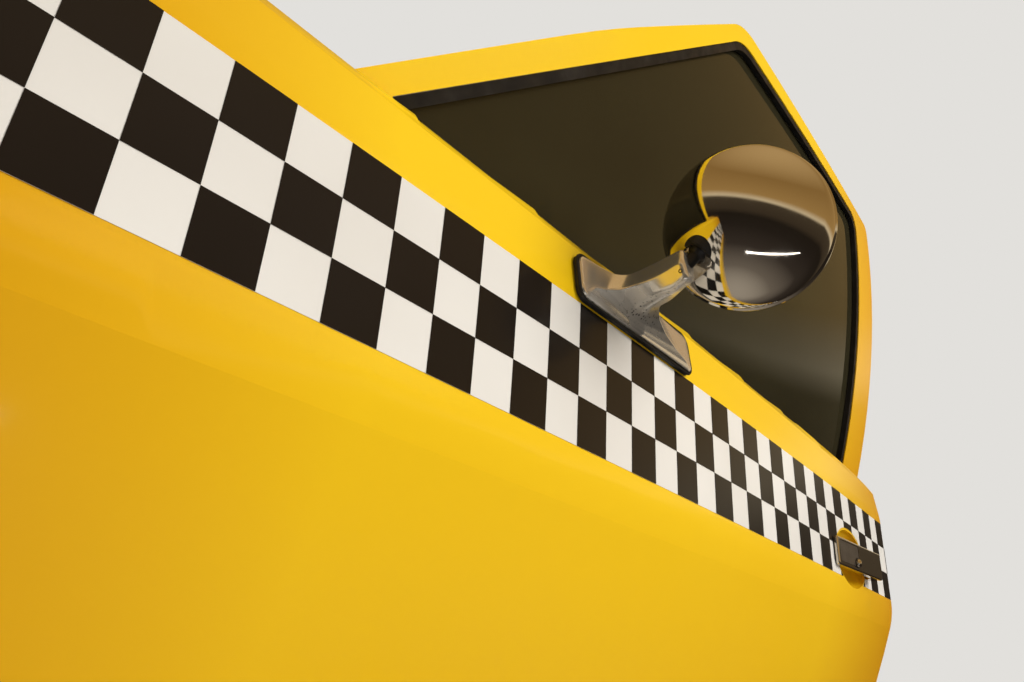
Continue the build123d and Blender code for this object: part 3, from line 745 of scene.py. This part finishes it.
def hinge_bolts():
    """Two flanged bolts on each door leaf."""
    bolts = Solid()
    flange, head = ([(r * BOLT_W, up * BOLT_W) for r, up in rows] for rows in (BOLT_FLANGE, BOLT_HEAD))
    for where in ("upper", "lower"):
        low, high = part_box(f"hinge_{where}_door_leaf")
        for side in (-1, 1):
            at = (high[0] - LEAF_T, high[1] - BOLT_EDGE, (low[2] + high[2]) / 2 + side * BOLT_RISE)
            bolts.turn(at, FORWARD, flange)
            bolts.turn(at, FORWARD, head, steps=48, reach=hexagon(BOLT_W))
    shaded(bolts.make("hinge_bolts", "bright_steel"), angle=28)


def cross_screw(solid, at, axis, r):
    """Domed head with a cross recess."""
    turn = Vector(axis).to_track_quat("Z", "Y").to_matrix()
    rings = []
    for row in range(SCREW_RINGS):
        share = 1 - row / SCREW_SHRINK
        ring = []
        for k in range(SCREW_SIDES):
            a = 2 * pi * k / SCREW_SIDES
            x, y = r * share * cos(a), r * share * sin(a)
            cut = min(abs(x), abs(y)) < CROSS_HALF * r and share < CROSS_REACH
            height = SCREW_DOME * (1 - share**2) + SCREW_LIFT - (CROSS_DEEP if cut else 0)
            ring.append(Vector(at) + turn @ Vector((x, y, height * r)))
        rings.append(ring)
    solid.loft(rings)


def latch_screws():
    """Four screws at the latch plate's corners."""
    low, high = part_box("latch_plate")
    screws = Solid()
    for y in (low[1] + SCREW_IN_Y, high[1] - SCREW_IN_Y):
        for z in (low[2] + SCREW_IN_Z, high[2] - SCREW_IN_Z):
            cross_screw(screws, (high[0] - SCREW_SINK, y, z), REARWARD, SCREW_R)
    shaded(screws.make("latch_screws", "bright_steel"), angle=30)


def rear_wall_fittings():
    """Rubber buffers that rest on the body, and a plug in a hole, on the rear wall."""
    wall_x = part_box("inner_panel")[1][0]
    buffers = Solid()
    for z in BUFFER_Z:
        buffers.turn((wall_x, BUFFER_Y, z), REARWARD, BUFFER)
    shaded(buffers.make("door_buffers", "black_rubber"))
    plug = Solid()
    plug.turn((wall_x, *PLUG_AT), REARWARD, PLUG)
    shaded(plug.make("wall_plug", "black_rubber"))


def sealer_route():
    """Down the front edge, along the bottom and up the rear edge, as (x, z)."""
    front, rear, bottom = DOOR_FRONT + SEALER_INSET, DOOR_REAR - SEALER_INSET, FLOOR_Z + SEALER_INSET
    r, step = SEALER_CORNER, SEALER_STEP
    rise = [bottom + r + k * step for k in range(int((SEALER_TOP - bottom - r) / step) + 1)]
    bends = [k * pi / (2 * SEALER_BENDS) for k in range(1, SEALER_BENDS)]
    yield from ((front, z) for z in reversed(rise))
    yield from ((front + r - r * cos(a), bottom + r - r * sin(a)) for a in bends)
    count = int((rear - front - 2 * r) / step)
    yield from ((front + r + (rear - front - 2 * r) * k / count, bottom) for k in range(count + 1))
    yield from ((rear - r + r * sin(a), bottom + r - r * cos(a)) for a in bends)
    yield from ((rear, z) for z in rise)


def seam_sealer():
    """Painted bead where the skin meets the inner panel's walls."""
    skin = tree_of(nodes["outer_skin"].data)
    hits = [skin.ray_cast(Vector((x, 0, z)), -INBOARD)[0] for x, z in sealer_route()]
    bead = Solid()
    bead.tube([hit + INBOARD * SEALER_R * SEALER_OUT for hit in hits if hit], SEALER_R)
    shaded(bead.make("seam_sealer", "taxi_yellow"))


def card_face(x, z, low, high):
    """How far the card's face lies behind its front plane, at x and z."""
    mid_x, mid_z = (low[0] + high[0]) / 2, (low[2] + high[2]) / 2
    out_x = abs(x - mid_x) - (high[0] - mid_x - CARD_R)
    out_z = abs(z - mid_z) - (high[2] - mid_z - CARD_R)
    past = max(out_x, out_z)
    if past > 0:
        past = sqrt(max(out_x, 0) ** 2 + max(out_z, 0) ** 2)
    edge = CARD_R - past
    roll = CARD_ROLL - sqrt(max(0, CARD_ROLL**2 - (CARD_ROLL - edge) ** 2)) if edge < CARD_ROLL else 0
    seam = sum(SEAM_DEEP * max(0, 1 - ((z - at) / SEAM_HALF) ** 2) for at in SEAMS)
    top, bottom = SEAMS
    inside = min(top - z, z - bottom, FLUTE_FADE) / FLUTE_FADE
    flute = 0
    if inside > 0:
        turn = ((x - low[0]) / FLUTE) % 1
        flute = FLUTE_DEEP * (1 - sqrt(max(0, 1 - (2 * turn - 1) ** 2))) * sqrt(inside)
    return min(roll + (seam + flute) * min(1, max(0, edge) / FLUTE_FADE), high[1] - low[1])


def door_card():
    """Padded vinyl card with two seams, flutes between them and rows of stitches."""
    low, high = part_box("trim_panel")
    columns = card_columns(low[0], high[0])
    rows = card_rows(low[2], high[2])
    shape = bmesh.new()
    grid = []
    for x in columns:
        dip = max(0, CARD_R - min(x - low[0], high[0] - x))
        cut = CARD_R - sqrt(CARD_R**2 - dip**2)
        line = []
        for v in rows:
            z = low[2] + cut + (high[2] - low[2] - 2 * cut) * v
            line.append(shape.verts.new((x, high[1] - card_face(x, z, low, high), z)))
        grid.append(line)
    for a, b in zip(grid, grid[1:]):
        for i in range(len(rows) - 1):
            shape.faces.new((a[i], b[i], b[i + 1], a[i + 1]))
    rim = [line[0] for line in grid] + grid[-1][1:]
    rim += [line[-1] for line in grid[-2::-1]] + grid[0][-2:0:-1]
    card_back(shape, rim, low[1])
    mesh = bpy.data.meshes.new("door_card")
    shape.to_mesh(mesh)
    shape.free()
    card = shaded(added(mesh, "door_card", "trim_vinyl"), angle=50)
    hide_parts("trim_panel")
    sewing(tree_of(card.data), low, high)


def card_back(shape, rim, y):
    """Walls from the face's rim back to y, and a flat back."""
    back = [shape.verts.new((vert.co.x, y, vert.co.z)) for vert in rim]
    for i in range(len(rim)):
        shape.faces.new((rim[i - 1], rim[i], back[i], back[i - 1]))
    shape.faces.new(back)


def card_columns(x0, x1):
    """Places across the card, close together at its ends and even over each flute."""
    ends = [CARD_R * (1 - cos(pi * k / (2 * CORNER_COLUMNS))) for k in range(CORNER_COLUMNS)]
    first, last = x0 + CARD_R, x1 - CARD_R
    count = round((last - first) / (FLUTE / FLUTE_COLUMNS))
    middle = [first + (last - first) * k / count for k in range(count + 1)]
    return [x0 + e for e in ends] + middle + [x1 - e for e in reversed(ends)]


def card_rows(z0, z1):
    """Places up the card from 0 to 1, close together at its ends and at the seams."""
    rolls = [CARD_ROLL * (1 - cos(pi * k / (2 * ROLL_ROWS))) for k in range(ROLL_ROWS + 1)]
    spots = [z0 + roll for roll in rolls] + [z1 - roll for roll in rolls]
    for at in SEAMS:
        spots += [at + SEAM_HALF * k / SEAM_ROWS for k in range(-SEAM_ROWS - 1, SEAM_ROWS + 2)]
        spots += [at + side * FADE_STEP * k for side in (-1, 1) for k in FADE_ROWS]
    spots += [z0 + (z1 - z0) * k / PLAIN_ROWS for k in range(2, PLAIN_ROWS - 1)]
    kept = []
    for spot in sorted(spots):
        if not kept or spot - kept[-1] > ROW_GAP:
            kept.append(spot)
    return [(spot - z0) / (z1 - z0) for spot in kept]


def sewing(card, low, high):
    """Stitch rows beside each seam, on its plain side."""
    thread_rows = Solid()
    for at, side in zip(SEAMS, (1, -1)):
        line = []
        for k in range(STITCH_RUNS + 1):
            x = low[0] + STITCH_END + (high[0] - low[0] - 2 * STITCH_END) * k / STITCH_RUNS
            line.append(card.ray_cast(Vector((x, RAY_FROM, at + side * STITCH_OFF)), -INBOARD)[0])
        thread_rows.stitches(line, INBOARD)
    shaded(thread_rows.make("card_stitches", "trim_vinyl", THREAD), angle=60)


def padded_copy(node, name):
    """Remeshed and smoothed copy of a CAD node, as a mesh of its own."""
    copy = bpy.data.objects.new(name, nodes[node].data.copy())
    bpy.context.collection.objects.link(copy)
    remesh = copy.modifiers.new("voxels", "REMESH")
    remesh.mode, remesh.voxel_size = "VOXEL", PAD_VOXEL
    soften = copy.modifiers.new("soften", "SMOOTH")
    soften.factor, soften.iterations = 0.5, PAD_SMOOTH
    seen = copy.evaluated_get(bpy.context.evaluated_depsgraph_get())
    mesh = bpy.data.meshes.new_from_object(seen)
    bpy.data.objects.remove(copy)
    return mesh


def armrest():
    """Moulded armrest whose sides pull in between its corners."""
    low, high = (Vector(corner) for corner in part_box("armrest"))
    mesh = padded_copy("armrest", "armrest_copy")
    mid, half = (low + high) / 2, (high - low) / 2
    for vert in mesh.vertices:
        u, v, w = ((vert.co[i] - mid[i]) / half[i] for i in range(3))
        vert.co.z -= PAD_PULL * (1 - u**4) * max(0, 1 - v * v) * w
        vert.co.y -= PAD_PULL * PAD_FACE * max(0, v) * u**4
    pad = shaded(added(mesh, "armrest_pad", "trim_vinyl"), angle=60)
    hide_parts("armrest")
    armrest_piping(tree_of(mesh), low, high)


def armrest_piping(pad, low, high):
    """Piping round the armrest, a little behind its face."""
    mid, half = (low + high) / 2, (high - low) / 2
    outline = rounded(half.x, half.z, PIPING_CORNER, PIPING_BENDS)
    ring = [Vector((mid.x + x, high.y - PIPING_IN, mid.z + z)) for x, z in outline]
    line = []
    for a, b in zip(ring, ring[1:] + ring[:1]):
        count = max(1, round((b - a).length / PIPING_STEP))
        for k in range(count):
            at, normal = pad.find_nearest(a.lerp(b, k / count))[:2]
            line.append(at + normal * PIPING_R * PIPING_OUT)
    piping = Solid()
    piping.tube(line, PIPING_R, looped=True)
    shaded(piping.make("armrest_piping", "trim_vinyl"))


def crank_fittings():
    """Ring under the crank's hub and the cap of its screw."""
    low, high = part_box("window_crank")
    x, z = low[0] + (high[2] - low[2]) / 2, (low[2] + high[2]) / 2
    ring = Solid()
    ring.turn((x, low[1], z), INBOARD, CRANK_RING, steps=48)
    shaded(ring.make("crank_escutcheon", "chrome"))
    cap = Solid()
    cap.turn((x, high[1], z), INBOARD, CRANK_CAP)
    shaded(cap.make("crank_cap", "chrome"))


def bezel_screws():
    """Two screws at opposite corners of the release lever's bezel."""
    low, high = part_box("release_bezel")
    screws = Solid()
    for x, z in ((low[0] + BEZEL_IN, low[2] + BEZEL_IN), (high[0] - BEZEL_IN, high[2] - BEZEL_IN)):
        cross_screw(screws, (x, high[1] - BEZEL_SINK, z), INBOARD, BEZEL_SCREW_R)
    shaded(screws.make("bezel_screws", "bright_steel"), angle=30)


def dress_nodes():
    """Gives each CAD node the material of its slot."""
    for part in frame["record"]["subparts"]:
        mesh = nodes[part["node"]].data
        mesh.materials.clear()
        mesh.materials.append(MATERIALS[part["material_slot"]])


def camera():
    """Camera that was fitted to the photograph."""
    turn = Matrix((RIGHT, -DOWN, -RIGHT.cross(DOWN))).transposed()
    data = bpy.data.cameras.new("camera")
    data.lens, data.sensor_width, data.clip_start = LENS, SENSOR, CLIP_START
    eye = bpy.data.objects.new("camera", data)
    eye.matrix_world = Matrix.Translation(EYE) @ turn.to_4x4()
    bpy.context.collection.objects.link(eye)
    bpy.context.scene.camera = eye


def softbox(name, at, target, size, power, along=None):
    """Area lamp that lights but isn't seen, or with along, a strip that shows in reflections."""
    data = bpy.data.lights.new(name, "AREA")
    data.shape, data.size, data.size_y, data.energy = "RECTANGLE", *size, power
    lamp = bpy.data.objects.new(name, data)
    out = (Vector(target) - Vector(at)).normalized()
    side = Vector(along).normalized() if along else out.cross(Vector((0, 0, 1))).normalized()
    back = -(out - side * out.dot(side)).normalized()
    turn = Matrix((side, back.cross(side), back)).transposed()
    lamp.matrix_world = Matrix.Translation(at) @ turn.to_4x4()
    lamp.visible_camera = False
    lamp.visible_glossy = along is not None
    lamp.visible_diffuse = along is None
    lamp.visible_transmission = False
    bpy.context.collection.objects.link(lamp)


def floor():
    """Pale floor that fades out into the backdrop and doesn't show in reflections."""
    bpy.ops.mesh.primitive_plane_add(size=FLOOR_SIZE, location=(FLOOR_X, 0, FLOOR_Z - FLOOR_DROP))
    plane = bpy.context.object
    plane.name = "floor"
    plane.visible_glossy = False
    s = Shader("floor_grey", linear(212, 209, 204), 0.8)
    s.bsdf.inputs["Specular IOR Level"].default_value = 0.0
    s.tint(s.ramp(s.noise(0.8, 3), 0.4, 0.7, 0, 0.12), linear(198, 195, 190))
    away = s.add("ShaderNodeVectorMath", operation="LENGTH")
    s.link(s.place, away.inputs[0])
    s.link(s.ramp(away.outputs["Value"], FADE_FROM, FADE_TO, 1, 0), s.bsdf.inputs["Alpha"])
    plane.data.materials.append(s.mat)


def room(tree):
    """Colour of the world by its height above the horizon."""
    place = tree.nodes.new("ShaderNodeTexCoord")
    split = tree.nodes.new("ShaderNodeSeparateXYZ")
    tree.links.new(place.outputs["Generated"], split.inputs["Vector"])
    height = tree.nodes.new("ShaderNodeMapRange")
    height.inputs["From Min"].default_value = -1.0
    tree.links.new(split.outputs["Z"], height.inputs["Value"])
    ramp = tree.nodes.new("ShaderNodeValToRGB")
    stops = ramp.color_ramp.elements
    stops[0].color, stops[1].color = SURROUNDINGS[0][1], SURROUNDINGS[-1][1]
    for sine, colour in SURROUNDINGS[1:-1]:
        stops.new((sine + 1) / 2).color = colour
    tree.links.new(height.outputs["Result"], ramp.inputs["Fac"])
    return ramp.outputs["Color"]


def larger(tree, a, b):
    """The larger of two values."""
    node = tree.nodes.new("ShaderNodeMath")
    node.operation = "MAXIMUM"
    tree.links.new(a, node.inputs[0])
    tree.links.new(b, node.inputs[1])
    return node.outputs[0]


def world():
    """Pale all round to the eye, and a darker, warmer room in reflections and through glass."""
    surround = bpy.data.worlds.new("studio")
    surround.use_nodes = True
    tree = surround.node_tree
    back = tree.nodes["Background"]
    paths = tree.nodes.new("ShaderNodeLightPath").outputs
    shine = larger(tree, paths["Is Glossy Ray"], paths["Is Transmission Ray"])
    seen = tree.nodes.new("ShaderNodeMix")
    seen.data_type = "RGBA"
    seen.inputs[MIX_A].default_value = BACKDROP
    tree.links.new(shine, seen.inputs[MIX_SHARE])
    tree.links.new(room(tree), seen.inputs[MIX_B])
    tree.links.new(seen.outputs[MIX_OUT], back.inputs["Color"])
    level = tree.nodes.new("ShaderNodeMapRange")
    level.inputs["To Min"].default_value = AMBIENT
    tree.links.new(larger(tree, shine, paths["Is Camera Ray"]), level.inputs["Value"])
    tree.links.new(level.outputs["Result"], back.inputs["Strength"])
    bpy.context.scene.world = surround


def studio():
    """Floor and world, a large key above the outer side, a weak fill, a back lamp and the strip."""
    floor()
    world()
    for name, at, target, size, power in LAMPS:
        softbox(name, at, target, size, power)
    middle, along = (STRIP_FROM + STRIP_TO) / 2, STRIP_TO - STRIP_FROM
    softbox("strip", middle, STRIP_TARGET, (along.length, STRIP_W), STRIP_POWER, along)


dress_nodes()
camera()
studio()
mirror_foot()
mirror_dome()
handle_button()
hinge_bolts()
latch_screws()
rear_wall_fittings()
seam_sealer()
door_card()
armrest()
crank_fittings()
bezel_screws()
bpy.context.scene.view_settings.view_transform = "Standard"
